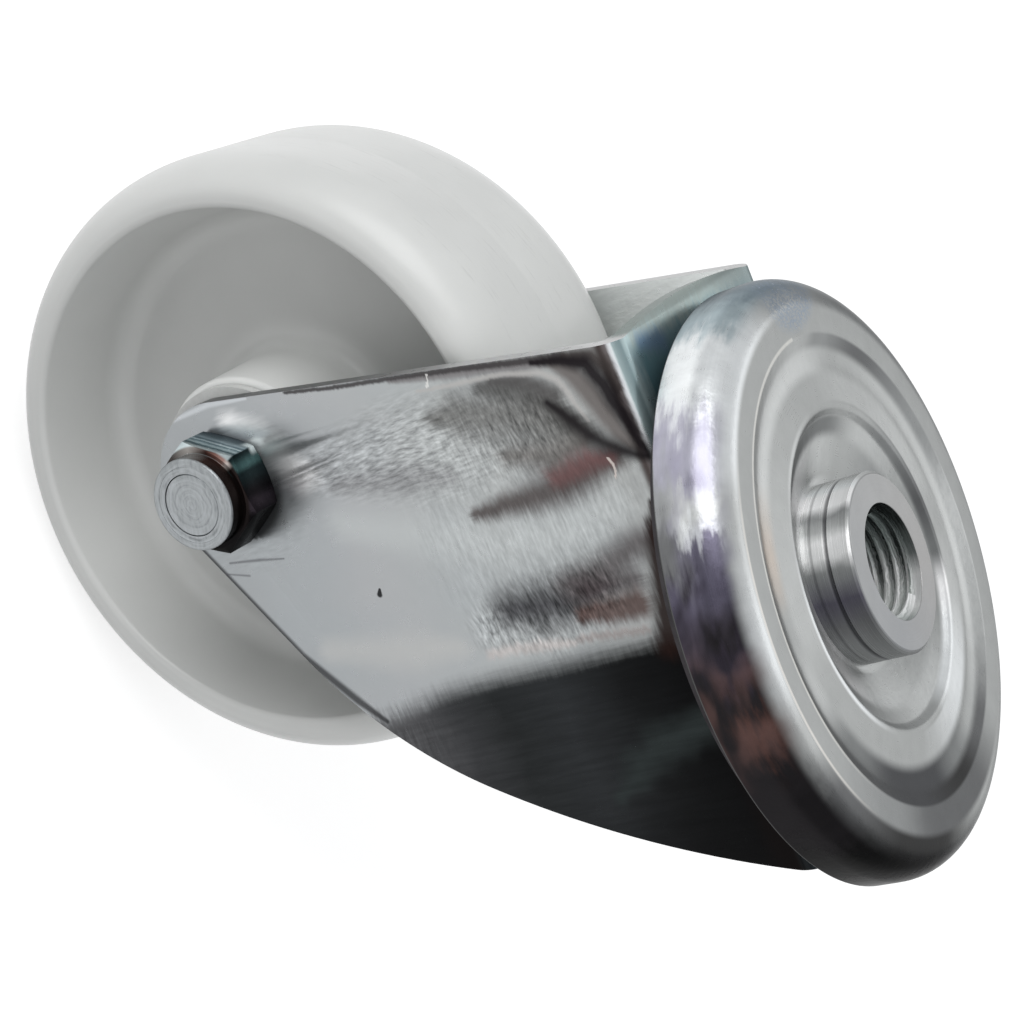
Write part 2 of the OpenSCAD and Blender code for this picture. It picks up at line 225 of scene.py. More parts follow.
def drawLine(name, points):  # a primitive merged to one vertex, extruded along the points and closed
    clearSelection()
    bpy.ops.mesh.primitive_plane_add(size=mm, location=(0, 0, 0))
    piece = bpy.context.object
    piece.name = name
    setMode("EDIT")
    selectMesh()
    bpy.ops.mesh.merge(type="CENTER")
    bpy.ops.transform.translate(value=Vector(points[0]) * mm)
    for before, after in zip(points, points[1:]):
        step = (Vector(after) - Vector(before)) * mm
        bpy.ops.mesh.extrude_region_move(TRANSFORM_OT_translate={"value": step})
    shape = bmesh.from_edit_mesh(piece.data)
    for vertex in shape.verts:
        vertex.select_set(len(vertex.link_edges) == 1)
    shape.select_flush(False)
    bpy.ops.mesh.edge_face_add()
    return piece


def spinLine(piece, centre, axis, steps):
    selectMesh()
    bpy.ops.mesh.spin(steps=steps, angle=2 * math.pi, center=Vector(centre) * mm, axis=axis)
    selectMesh()
    bpy.ops.mesh.remove_doubles(threshold=mergeWithin)
    turnOutward()
    finishPiece(piece)
    return piece


def headRing(name, profile, steps=128):  # profile as (radius, z)
    return spinLine(drawLine(name, [(r, 0, z) for r, z in profile]), (0, 0, 0), (0, 0, 1), steps)


def axleRing(name, profile, steps=96):  # profile as (radius, y)
    return spinLine(drawLine(name, [(axleX + r, y, axleZ) for r, y in profile]), (axleX, 0, axleZ), (0, 1, 0), steps)


def roundedLine(points, steps=8):  # a third number is the radius at that corner
    line = []
    for i, point in enumerate(points):
        here = Vector(point[:2])
        if len(point) < 3 or i in (0, len(points) - 1):
            line.append(tuple(here))
            continue
        u = (Vector(points[i - 1][:2]) - here).normalized()
        v = (Vector(points[i + 1][:2]) - here).normalized()
        half = math.acos(max(-1, min(1, u.dot(v)))) / 2
        middle = here + (u + v).normalized() * point[2] / math.sin(half)
        start = here + u * point[2] / math.tan(half) - middle
        end = here + v * point[2] / math.tan(half) - middle
        first = math.atan2(start.y, start.x)
        sweep = math.remainder(math.atan2(end.y, end.x) - first, 2 * math.pi)
        count = max(2, round(steps * abs(sweep) / math.radians(90)) + 1)
        for k in range(count + 1):
            angle = first + sweep * k / count
            line.append((middle.x + point[2] * math.cos(angle), middle.y + point[2] * math.sin(angle)))
    return line


def sheetLine(line, thickness):  # the closed outline of a sheet whose upper face is the line
    points = [Vector(p) for p in line]
    under = []
    for i, point in enumerate(points):
        before = (point - points[i - 1]).normalized() if i else None
        after = (points[i + 1] - point).normalized() if i < len(points) - 1 else None
        sides = [Vector((d.y, -d.x)) for d in (before, after) if d is not None]
        total = sides[0] if len(sides) == 1 else (sides[0] + sides[1]) / (1 + sides[0].dot(sides[1]))
        under.append(tuple(point + total * thickness))
    return [tuple(p) for p in points] + under[::-1]


def useModifier(piece, name, kind, **settings):
    makeActive(piece)
    modifier = piece.modifiers.new(name, kind)
    for key, value in settings.items():
        setattr(modifier, key, value)
    bpy.ops.object.modifier_apply(modifier=name)


def softenEdges(piece, width, angle, segments=2):  # rounds the edges that turn by more than the angle
    useModifier(piece, "edge", "BEVEL", width=width * mm, segments=segments, limit_method="ANGLE",
                angle_limit=math.radians(angle))


def cutWith(piece, tool, how="DIFFERENCE"):
    useModifier(piece, "cut", "BOOLEAN", object=tool, operation=how, solver="EXACT")
    bpy.data.objects.remove(tool)


def pushFace(piece, step):  # fills the drawn outline and extrudes it into a solid
    selectMesh()
    bpy.ops.mesh.edge_face_add()
    bpy.ops.mesh.extrude_region_move(TRANSFORM_OT_translate={"value": Vector(step) * mm})
    turnOutward()
    setMode("OBJECT")


def roundCutter(name, radius, depth, place, turn=(0, 0, 0), vertices=96):
    clearSelection()
    bpy.ops.mesh.primitive_cylinder_add(vertices=vertices, radius=radius * mm, depth=depth * mm,
                                        location=Vector(place) * mm, rotation=turn)
    made = bpy.context.object
    made.name = name
    return made


def joinPieces(first, *others):
    makeActive(first, *others)
    bpy.ops.object.join()
    return first


def paint(piece, look):
    piece.data.materials.clear()
    piece.data.materials.append(look.material)


def dress(piece, look, body, slotName, *nodes):
    paint(piece, look)
    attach(piece, body)
    if nodes:
        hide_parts(*nodes)


# Finishes; less of the room at grazing angles, so that the dark paint stays dark
softEdges = {"Specular IOR Level": 0.25, "Specular Tint": (0.35, 0.35, 0.35, 1)}

# Painted reflection tones for the zinc, from dark to white, and the tints of the room that it mirrors
black, coal, dark, slate = tone(15), tone(34, 32, 34), tone(60), tone(80, 81, 83)
shade, dull, mid, zinc = tone(108, 109, 110), tone(130, 132, 132), tone(150, 152, 152), tone(174, 176, 175)
pale, light, bright, white = tone(190, 192, 191), tone(208, 210, 209), tone(240, 243, 244), tone(255)
ink, plum, violet, brown = tone(46, 42, 50), tone(92, 90, 101), tone(176, 175, 188), tone(70, 50, 46)
dusk, teal, sky, warm = tone(112, 126, 134), tone(138, 152, 160), tone(174, 188, 193), tone(200, 191, 182)

# Painted reflections: what each ring of the cap mirrors, by degrees from -X towards -Y
ringReflections = {
    "side": [(0, teal), (15, sky), (24, bright), (36, bright), (46, violet), (52, violet), (58, light), (62, bright),
             (66, plum), (74, ink), (80, coal), (86, ink), (92, coal), (98, brown), (105, coal), (124, coal),
             (138, black), (156, coal), (172, shade), (190, mid), (250, pale), (320, zinc), (360, teal)],
    "low": [(0, dusk), (15, sky), (26, bright), (36, bright), (46, violet), (56, mid), (66, shade), (76, ink),
            (90, coal), (120, coal), (142, black), (160, dark), (200, mid), (300, mid), (360, dusk)],
    "top": [(0, pale), (20, bright), (45, bright), (60, light), (85, bright), (104, pale), (120, shade), (145, dark),
            (162, dark), (190, pale), (250, pale), (330, mid), (360, pale)],
    "flat": [(0, zinc), (110, zinc), (138, mid), (160, shade), (186, shade), (215, zinc), (360, zinc)],
    "step": [(0, pale), (45, pale), (60, light), (76, mid), (104, dull), (122, shade), (150, slate), (182, dark),
             (205, shade), (238, pale), (262, light), (290, mid), (322, shade), (345, mid), (360, pale)],
    "groove": [(0, light), (45, light), (68, warm), (82, zinc), (104, pale), (122, dull), (146, slate), (168, slate),
               (186, dull), (204, zinc), (250, light), (300, pale), (335, zinc), (360, light)],
    "middle": [(0, zinc), (84, pale), (110, zinc), (160, zinc), (212, bright), (245, light), (266, pale), (290, light),
               (330, pale), (360, zinc)],
    "crest": [(0, zinc), (30, light), (60, pale), (90, bright), (118, bright), (150, zinc), (184, zinc), (202, bright),
              (224, bright), (242, white), (256, dull), (276, shade), (298, mid), (325, zinc), (360, zinc)],
    "wall": [(0, dull), (50, dull), (74, zinc), (104, mid), (150, zinc), (200, light), (236, zinc), (262, zinc),
             (320, pale), (348, dull), (360, dull)],
    "dish": [(0, light), (30, white), (60, pale), (90, light), (120, white), (150, light), (195, pale), (240, mid),
             (290, mid), (330, zinc), (360, light)],
    "collar": [(0, light), (12, bright), (18, white), (28, white), (36, mid), (46, pale), (53, white), (63, white),
               (72, mid), (90, plum), (108, shade), (124, dull), (160, mid), (200, zinc), (280, pale), (360, light)],
}


def headLook():  # bright zinc on the pressed cap, its mirrored room painted round the rings
    look = Look("bright zinc, pressed cap", Metallic=0.7, **softEdges)
    x, y, z, inMm = look.place()
    radius = (x * x + y * y) ** 0.5
    angle = y.math("ARCTAN2", x) / (2 * math.pi) + 0.5  # 0 at -X, 0.25 at -Y, 0.5 at +X
    drift = noise(inMm, 0.09, 2.0)
    flowing = grain(x * 0.22, y * 0.22, z * 1.1)
    onRim = fade(radius, 32.5, 34.5)
    turned = angle + (drift - 0.5) * 0.03 + flowing * onRim * 0.05

    def ring(name):
        return ramp(turned, [(degrees / 360, shine) for degrees, shine in ringReflections[name]], "EASE")

    colour = mix(fade(z + flowing, -8.8, -5.4), ring("low"), ring("side"))
    colour = mix(fade(z, -3.6, -2.1), colour, ring("top"))
    above = fade(z, -7.4, -7.0)
    for low, high, name in ((32.2, 31.2, "flat"), (28.6, 28.1, "step"), (27.3, 26.2, "groove"), (24.6, 23.0, "middle"),
                            (20.4, 19.9, "crest"), (18.9, 18.2, "wall"), (17.3, 15.8, "dish")):
        colour = mix((1 - fade(radius, high, low)) * above, colour, ring(name))
    # painted highlight: a thin near-white line where the cap's flat top turns into the rim's rounding
    capEdgeHighlight = between(radius, 31.4, 31.75, 0.12) * fade(z, -2.2, -2.0)
    capEdgeHighlight = capEdgeHighlight * between(angle, 0.16, 0.34, 0.04)
    colour = mix(capEdgeHighlight * 0.7, colour, tone(238, 234, 228))
    # painted highlight: a pale line along the step down into the groove
    capStepHighlight = between(radius, 28.25, 28.65, 0.12) * above * between(angle, -0.04, 0.33, 0.05)
    colour = mix(capStepHighlight * 0.75, colour, tone(226, 225, 220))
    # painted reflection: a bluish patch on the rim's side with near-white glint specks
    specks = noise(inMm, 2.6, 2.0, 0.7)
    glintPatch = spot(x, y, (-33.0, 4.0), (4.6, 8.0), 8) * fade(z, -6.5, -4.0)
    colour = mix(glintPatch * fade(specks, 0.36, 0.6) * 0.75, colour, tone(146, 160, 176))
    colour = mix(glintPatch * fade(specks, 0.66, 0.72) * 0.8, colour, tone(236, 240, 244))
    patches = noise(vector(x * 0.2 + z * 0.12, y * 0.2, z * 0.42), 1.0, 1.5, 0.4, 0.3)
    # painted reflection: soft brownish patches on the rim
    brownReflection = between(angle, 0.225, 0.29, 0.02) * onRim * fade(patches, 0.4, 0.72)
    colour = mix(brownReflection * 0.5, colour, tone(100, 76, 72))
    # painted reflection: soft violet-blue patches on the rim
    bluishReflection = between(angle, 0.12, 0.22, 0.03) * onRim * fade(patches, 0.36, 0.7)
    colour = mix(bluishReflection * 0.45, colour, tone(132, 128, 150))
    streaks = grain(angle * 110, radius * 0.3, z * 0.25, 3.0, 0.5)
    spun = grain(radius * 7, z * 7, angle * 3)
    smudge = noise(inMm, 0.35, 4.0, 0.6) - 0.5
    colour = scaled(colour, 1 + streaks * (0.08 + onRim * 0.3) + spun * 0.08 + smudge * 0.16)
    # painted shade: the rim's downward-facing bottom edge in dark grey
    colour = mix(1 - fade(z, -9.66, -9.5), colour, tone(88, 88, 88))
    return look.finish(colour, 0.3 + streaks * 0.12 + spun * 0.1, noise(inMm, 0.9, 2.0, 0.6), 0.16, 0.0002)


# Painted reflections, highlights and shade, laid on the leg as brush strokes: tone, strength, points as (x, z, half
# width), and how far its full core reaches
legLightAndShadeStrokes = {
    # broad soft painted reflections, dark and light, with a painted white highlight above the nut
    "broad": [
        ((108, 108, 106), 0.85, [(-35.6, -38.5, 2), (-35, -34.5, 4.8), (-33.5, -29, 7), (-31, -24.5, 7.5),
         (-29, -21, 4)]),
        ((68, 67, 66), 0.75, [(-37.3, -31, 1.6), (-36, -26.5, 3.2), (-33, -23.5, 3.8), (-30.5, -21.5, 2.6)]),
        ((132, 132, 134), 0.55, [(-32, -56, 1.6), (-30.4, -48, 3.4), (-29, -40, 2.4)]),
        ((98, 94, 91), 0.75, [(-28.8, -31, 2.2), (-27, -25, 3.2), (-27.6, -21, 2.4)]),
        ((190, 194, 194), 0.6, [(-27, -57, 3.5), (-20, -40, 5.5), (-18.5, -26, 4.5), (-19.5, -19, 3)]),
        ((255, 255, 255), 0.9, [(-43.2, -67, 2.8), (-40, -63, 3.4), (-34.5, -60.5, 3.6)]),
        ((190, 190, 188), 0.55, [(-12, -66, 3), (-9, -54, 4.5), (-8.5, -48, 2.5)]),
    ],
    # narrow painted reflections: dark and brownish bands, with pale lines beside them
    "streaky": [
        ((78, 71, 70), 0.9, [(-23.3, -38, 1.5), (-23.3, -34, 2.3), (-23.3, -29.8, 3.3), (-23.5, -25.5, 4.0),
         (-24.6, -20.5, 3.4), (-24.6, -17, 2.4)], 0.05),
        ((108, 76, 76), 0.75, [(-24.6, -26, 2.0), (-25.4, -21, 2.6), (-25, -18, 1.8)]),
        ((66, 66, 69), 0.95, [(-11.2, -38.6, 4.6), (-10.6, -34.9, 5.6), (-10.4, -30.4, 5.4), (-11.2, -27.7, 4.6)]),
        ((92, 88, 89), 0.9, [(-11.6, -29, 3.6), (-13, -24, 3.4), (-14.4, -20, 3.2), (-15.2, -16.6, 2.6)]),
        ((66, 58, 60), 0.8, [(-11, -27.5, 2.6), (-10.8, -21.5, 3.0)]),
        ((84, 66, 62), 0.9, [(-8.4, -29.4, 1.8), (-8, -25.7, 2.6), (-8, -21.8, 2.8)], 0.2),
        ((190, 184, 182), 0.8, [(-6.6, -44, 1.2), (-6, -36, 1.3), (-5.5, -32, 0.9)]),
        ((150, 142, 140), 0.75, [(-5.6, -31, 1.0), (-5.2, -26, 1.1), (-4.8, -22, 1.0)]),
    ],
    # painted shade and dark brown reflection below the cap's rim
    "rim": [
        ((34, 21, 18), 0.95, [(-18.5, -15.2, 0.9), (-14.2, -16.8, 2.1), (-8.6, -18.2, 2.5), (-2.4, -20.2, 2.8)], 0.1),
        ((20, 12, 10), 0.95, [(-14, -13.6, 0.9), (-8, -14.6, 2.4), (-2, -15.8, 3.2)], 0.2),
    ],
    # painted reflections at the crown corner: a dark wedge with painted highlight lines
    "corner": [
        ((116, 112, 113), 0.8, [(-41.3, -42, 0.5), (-39.6, -33, 1.1), (-38.6, -27, 1.2), (-37.5, -22, 1.3)], 0.1),
        ((80, 78, 78), 0.75, [(-37.4, -29, 0.9), (-36, -24.5, 1.7), (-33.8, -21.8, 1.9)]),
        ((108, 103, 101), 0.92, [(-37, -20.4, 1.3), (-35.2, -18.6, 2.0), (-32.8, -17.5, 2.3),
         (-30, -16.6, 2.2), (-27.4, -15.8, 1.7), (-25.5, -15, 1.0)], 0.2),
        ((180, 178, 176), 0.8, [(-39.1, -39, 0.3), (-38.3, -32.5, 0.6), (-37.8, -27.5, 0.5),
         (-36.4, -22.3, 0.7), (-35, -20.6, 0.8), (-32.5, -19.8, 0.7), (-29.6, -18.9, 0.3)]),
        ((60, 57, 58), 0.9, [(-44.4, -57, 0.35), (-43, -50.3, 0.45), (-41.4, -40.3, 0.55), (-39.7, -31, 0.65),
         (-38.5, -25, 0.7), (-37.5, -19, 0.8)], 0.2),
        ((72, 66, 64), 0.92, [(-37.2, -18.6, 1.2), (-36.4, -15.6, 1.8), (-34.6, -14.4, 1.4), (-32, -14, 0.8)], 0.1),
        ((34, 31, 33), 0.95, [(-33, -23, 0.8), (-31.4, -21.7, 1.5), (-29.8, -20.6, 2.1), (-28.3, -19.6, 2.3),
         (-26.8, -18.2, 2.3), (-25.6, -16.6, 1.9), (-24.5, -15, 1.4), (-23.3, -13, 0.8)]),
        ((30, 26, 29), 0.97, [(-37.8, -23, 0.6), (-37, -19.5, 1.2), (-35.8, -16.6, 2.0), (-33, -15.4, 2.1),
         (-30.3, -14.9, 1.9), (-27.9, -14.3, 1.5), (-25.3, -14, 1.1), (-23.4, -13, 0.7)], 0.1),
        ((206, 196, 190), 0.85, [(-25, -18.4, 0.18), (-24.1, -18, 0.24), (-22.4, -18.3, 0.15)], 0.2),
        ((225, 225, 222), 0.7, [(-40.6, -36.8, 0.2), (-39.2, -37.4, 0.2)], 0.2),
    ],
    # by the tip: painted shade along the leading edge, fine dark lines below the nut, a painted highlight by the back
    # edge and a small dark mark
    "tip": [
        ((46, 46, 48), 0.85, [(-35, -81.7, 0.6), (-31.1, -80.4, 0.7), (-12.5, -71, 0.9), (-5, -65.5, 1.0),
         (-1.5, -62.5, 0.5)], 0.2),
        ((84, 84, 88), 0.6, [(-26.6, -76, 0.25), (-25.9, -71.5, 0.35), (-25.1, -67.5, 0.2)], 0.1),
        ((84, 84, 88), 0.55, [(-25.6, -78, 0.2), (-24.3, -73.8, 0.25)], 0.1),
        ((214, 218, 222), 0.6, [(-46, -76, 0.4), (-46.3, -69, 0.6), (-45.4, -63, 0.3)], 0.1),
        ((26, 26, 28), 0.95, [(-17.9, -55.4, 0.25), (-17.3, -55.7, 0.5)], 0.5),
    ],
}


def forkLook():  # bright zinc on the folded sheet, its mirrored room painted on the faces
    look = Look("bright zinc, folded sheet", Metallic=0.75, **softEdges)
    x, y, z, inMm = look.place()
    absY = y.math("ABSOLUTE")
    alongNoise = grain(x * 1.5, y, z * 0.14, 3.0, 0.62)
    acrossNoise = grain(x * 0.26, y, z * 2.3, 3.0, 0.62)
    slow = noise(inMm, 0.13, 2.0) - 0.5

    def brush(colour, strokes, u, v, share=None):
        for shown, strength, points, *core in legLightAndShadeStrokes[strokes]:
            mask = stroke(u, v, points, *core) * strength
            colour = mix(mask if share is None else mask * share, colour, tone(*shown))
        return colour

    cool = fade(noise(inMm, 0.05, 3.0, 0.5), 0.3, 0.7)
    # the leg's base tone, a painted reflection, a little lighter in the middle of the leg
    plain = ramp(fade(z, -82, -14), [
        (0, 166, 169, 171), (0.3, 174, 176, 178), (0.7, 176, 179, 179), (1, 170, 172, 171)])
    colour = mix(cool * 0.5, plain, tone(166, 172, 175))
    colour = brush(colour, "broad", x + slow * 2.5, z + slow * 4 + alongNoise * 3)
    colour = brush(colour, "streaky", x + acrossNoise * 1.5 + slow, z + alongNoise * 2 + slow * 3)
    # painted dark reflection over the leading part of the leg, darkest towards the fold and the front, more broken up
    # towards the tip
    towardTip = 1 - fade(z, -62, -50)
    shareOfDarkReflection = fade(x + acrossNoise * (0.8 + towardTip * 3) + alongNoise * 1.2 - towardTip * 1.5, -5.6, -1.6)
    darkReflection = ramp(fade(z + slow * 5, -66, -14), [
        (0, 86, 86, 88), (0.16, 56, 57, 59), (0.35, 38, 40, 41), (0.6, 44, 46, 48),
        (0.85, 22, 23, 24), (1, 6, 6, 7)])
    darkReflection = mix(fade(x, 12, 26) * 0.7, darkReflection, tone(12, 12, 13))
    lessDarkReflection = stroke(x + slow * 5, z + slow * 6, [(14, -34, 2.5), (9.5, -27, 5), (8, -19, 4)])
    darkReflection = mix(lessDarkReflection * 0.8, darkReflection, tone(46, 52, 52))
    darkReflection = scaled(darkReflection, 1 + alongNoise * 0.7 + acrossNoise * towardTip * 1.5)
    colour = mix(shareOfDarkReflection, colour, darkReflection)
    colour = brush(colour, "rim", x + acrossNoise * 1.5, z + acrossNoise * 1.0)
    # painted shade: near black under the cap at the front of the leg
    paintedShadeUnderCap = fade(z + acrossNoise * 1.2, -19.5, -16.5) * fade(x, -4, 1) * 0.85
    colour = mix(paintedShadeUnderCap, colour, tone(16, 12, 12))
    # painted reflections of drawn wrinkles, as light and dark waves: along the leg at the back, across it towards the
    # fold, and round the nut
    wavy = grain(x * 2.6 + slow * 3, y, z * 0.62 + x * 0.2, 2.0, 0.6)
    upright = grain(x * 0.7 + slow * 2, y, z * 2.4 - x * 0.3 + slow * 3, 2.0, 0.6)
    field = stroke(x, z, [(-34, -56, 5), (-33, -44, 8.5), (-32, -32, 9), (-30.5, -25, 6.5)], 0.2)
    turned = fade(z + slow * 8, -42, -28)
    lower = stroke(x, z, [(-9.5, -42, 4.5), (-9.5, -34, 7.5), (-11, -26, 6)], 0.1)
    ripples = field * (wavy * (1 - turned) + upright * turned) + lower * upright * 1.3
    drawn = spot(x, z, (-21, -30), (20, 20), 0, 0.2)
    colour = scaled(colour, 1 + (upright * 0.5 + acrossNoise * 0.6) * drawn)
    nutRing = ((x - axleX) * (x - axleX) + (z - axleZ) * (z - axleZ)) ** 0.5
    nearNut = between(nutRing, 7.0, 11.5, 2.0) * fade(x, -40, -30)
    colour = scaled(colour, 1 + ripples * 1.9 + wavy * nearNut * 0.35)
    colour = brush(colour, "tip", x, z)
    nutShade = (1 - fade(nutRing, 7.0, 8.6)) * fade(x - z * 0.6, 0, 6)
    colour = mix(nutShade * 0.75, colour, tone(40, 40, 43))
    # painted reflections on the fold: it turns from the leg's tone over a painted highlight line to the teal crown,
    # darker towards the front
    foldTurn = (z + 15.46).math("ARCTAN2", absY - 17.7) / (math.pi / 2)
    foldReflection = ramp(foldTurn + upright * 0.05, [
        (0.0, 72, 66, 64), (0.26, 90, 82, 80), (0.38, 118, 112, 112),
        (0.46, 230, 232, 235), (0.51, 240, 246, 248), (0.57, 176, 194, 196), (1.0, 132, 160, 166)])
    frontFoldReflection = ramp(foldTurn, [(0.0, 20, 18, 18), (1.0, 50, 58, 62)])
    foldReflection = mix(fade(x, -22, -16), foldReflection, frontFoldReflection)
    onFold = fade(z, -15.3, -14.4)
    colour = mix(onFold, colour, foldReflection)
    onLeg = (1 - fade(z, -13.8, -13.0)) * fade(absY, 18.4, 18.6)
    colour = brush(colour, "corner", x + upright * 0.5, z + upright * 0.7, onLeg)
    sheen = grain(x * 0.3, y * 1.4, z)
    # painted reflections on the crown: teal, paler towards its back edge and beside the folds, with a blue stroke
    crownReflection = ramp(fade(x + sheen * 3 + slow * 2, -38.4, -29), [
        (0, 176, 186, 182), (0.14, 188, 204, 202), (0.34, 150, 180, 188), (0.6, 126, 164, 174),
        (1, 110, 148, 158)])
    crownReflection = mix(stroke(x + sheen * 2, y, [(-35.5, -14.5, 2), (-34.5, -10, 2.5)]) * 0.8, crownReflection,
                          tone(128, 158, 190))
    crownReflection = mix(fade(absY + sheen * 3, 15.2, 18.2) * 0.85, crownReflection, tone(206, 226, 228))
    crownReflection = mix(fade(y + sheen * 3, 2, 14) * 0.7, crownReflection, tone(150, 160, 160))
    colour = mix(fade(z, -12.66, -12.5), colour, crownReflection)
    # painted light: the legs' inner faces near white, lifting them out of the shade between the legs
    inner = 1 - fade(absY, 18.15, 18.35)
    innerPaintedLight = ramp(fade(z, -70, -15), [
        (0, 214, 218, 216), (0.5, 246, 250, 248), (1, 252, 255, 254)])
    innerPaintedLight = scaled(innerPaintedLight, 1 + alongNoise * 0.3)
    colour = mix(inner * (1 - fade(z, -13.2, -12.8)), colour, innerPaintedLight)
    # cut edges: a painted highlight on the leg's back edge, brightest towards the crown, a painted grey-green
    # reflection on the crown's back edge, and painted shade along the front edges
    facing = look.node("ShaderNodeSeparateXYZ", None, {0: look.node("ShaderNodeTexCoord", out="Normal")})
    backEdge = fade(facing * -1, 0.62, 0.85) * (1 - fade(x, -34, -32))
    legEdgeHighlight = ramp(fade(z, -64, -26), [
        (0, 150, 151, 152), (0.4, 172, 173, 173), (0.62, 206, 206, 206), (0.8, 246, 246, 246),
        (1, 250, 250, 250)])
    crownEdgeReflection = scaled(tone(160, 172, 168), 1 + sheen * 0.5)
    cutEdgeReflection = mix(fade(absY, 15.5, 18.4), crownEdgeReflection, legEdgeHighlight)
    colour = mix(backEdge, colour, cutEdgeReflection)
    frontEdgeShade = fade(facing, 0.4, 0.6) * fade(x, -34, -32)
    colour = mix(frontEdgeShade, colour, tone(44, 44, 46))
    frost = noise(inMm, 0.8, 2.0, 0.6) - 0.5
    rough = 0.3 + frost * 0.16 + (field + lower) * 0.08
    fine = noise(vector(x * 1.6, y, z * 0.9), 1.0, 2.0, 0.6)
    creased = spot(x, z, (-31, -33), (11, 20), 0, 0.0)
    return look.finish(colour, rough, fine * (creased + 0.1), 0.3, 0.0004)


def wheelLook():  # white nylon straight from the mould
    look = Look("white nylon", **{"Coat Roughness": 0.25})
    x, y, z, inMm = look.place()
    cloud = noise(inMm, 0.045, 3.0)
    fine = noise(inMm, 1.6, 4.0, 0.6)
    radius = ((x - axleX) * (x - axleX) + (z - axleZ) * (z - axleZ)) ** 0.5
    moulded = noise(vector(radius * 1.1, y * 1.1, cloud * 4), 1.0, 3.0)
    colour = ramp(cloud, [(0.3, 214, 215, 213), (0.7, 222, 223, 221)])
    # a touch darker at the recess lip, painted shade in the recess and painted light on the hub
    rimEdge = between(radius, 34.3, 35.4, 0.5)
    paintedRecessShade = fade(radius, 12.5, 18) * (1 - fade(radius, 27, 37))
    hub = 1 - fade(radius, 12.5, 15)
    colour = scaled(colour, 1 - rimEdge * 0.03 + (fine - 0.5) * 0.02 - paintedRecessShade * 0.22 + hub * 0.14)
    scuffs = noise(vector(x * 0.2, y * 2.2, z * 0.2), 1.0, 4.0, 0.65)
    worn = fade(radius, 39.4, 39.9) * fade(scuffs, 0.56, 0.78)
    colour = mix(worn * 0.25, colour, tone(150, 150, 148))
    rough = 0.36 + (fine - 0.5) * 0.1 + worn * 0.15
    look.feed("Coat Weight", 0.25 - worn * 0.2)
    return look.finish(colour, rough, fine * 0.5 + moulded * 0.5, 0.06, 0.0003)


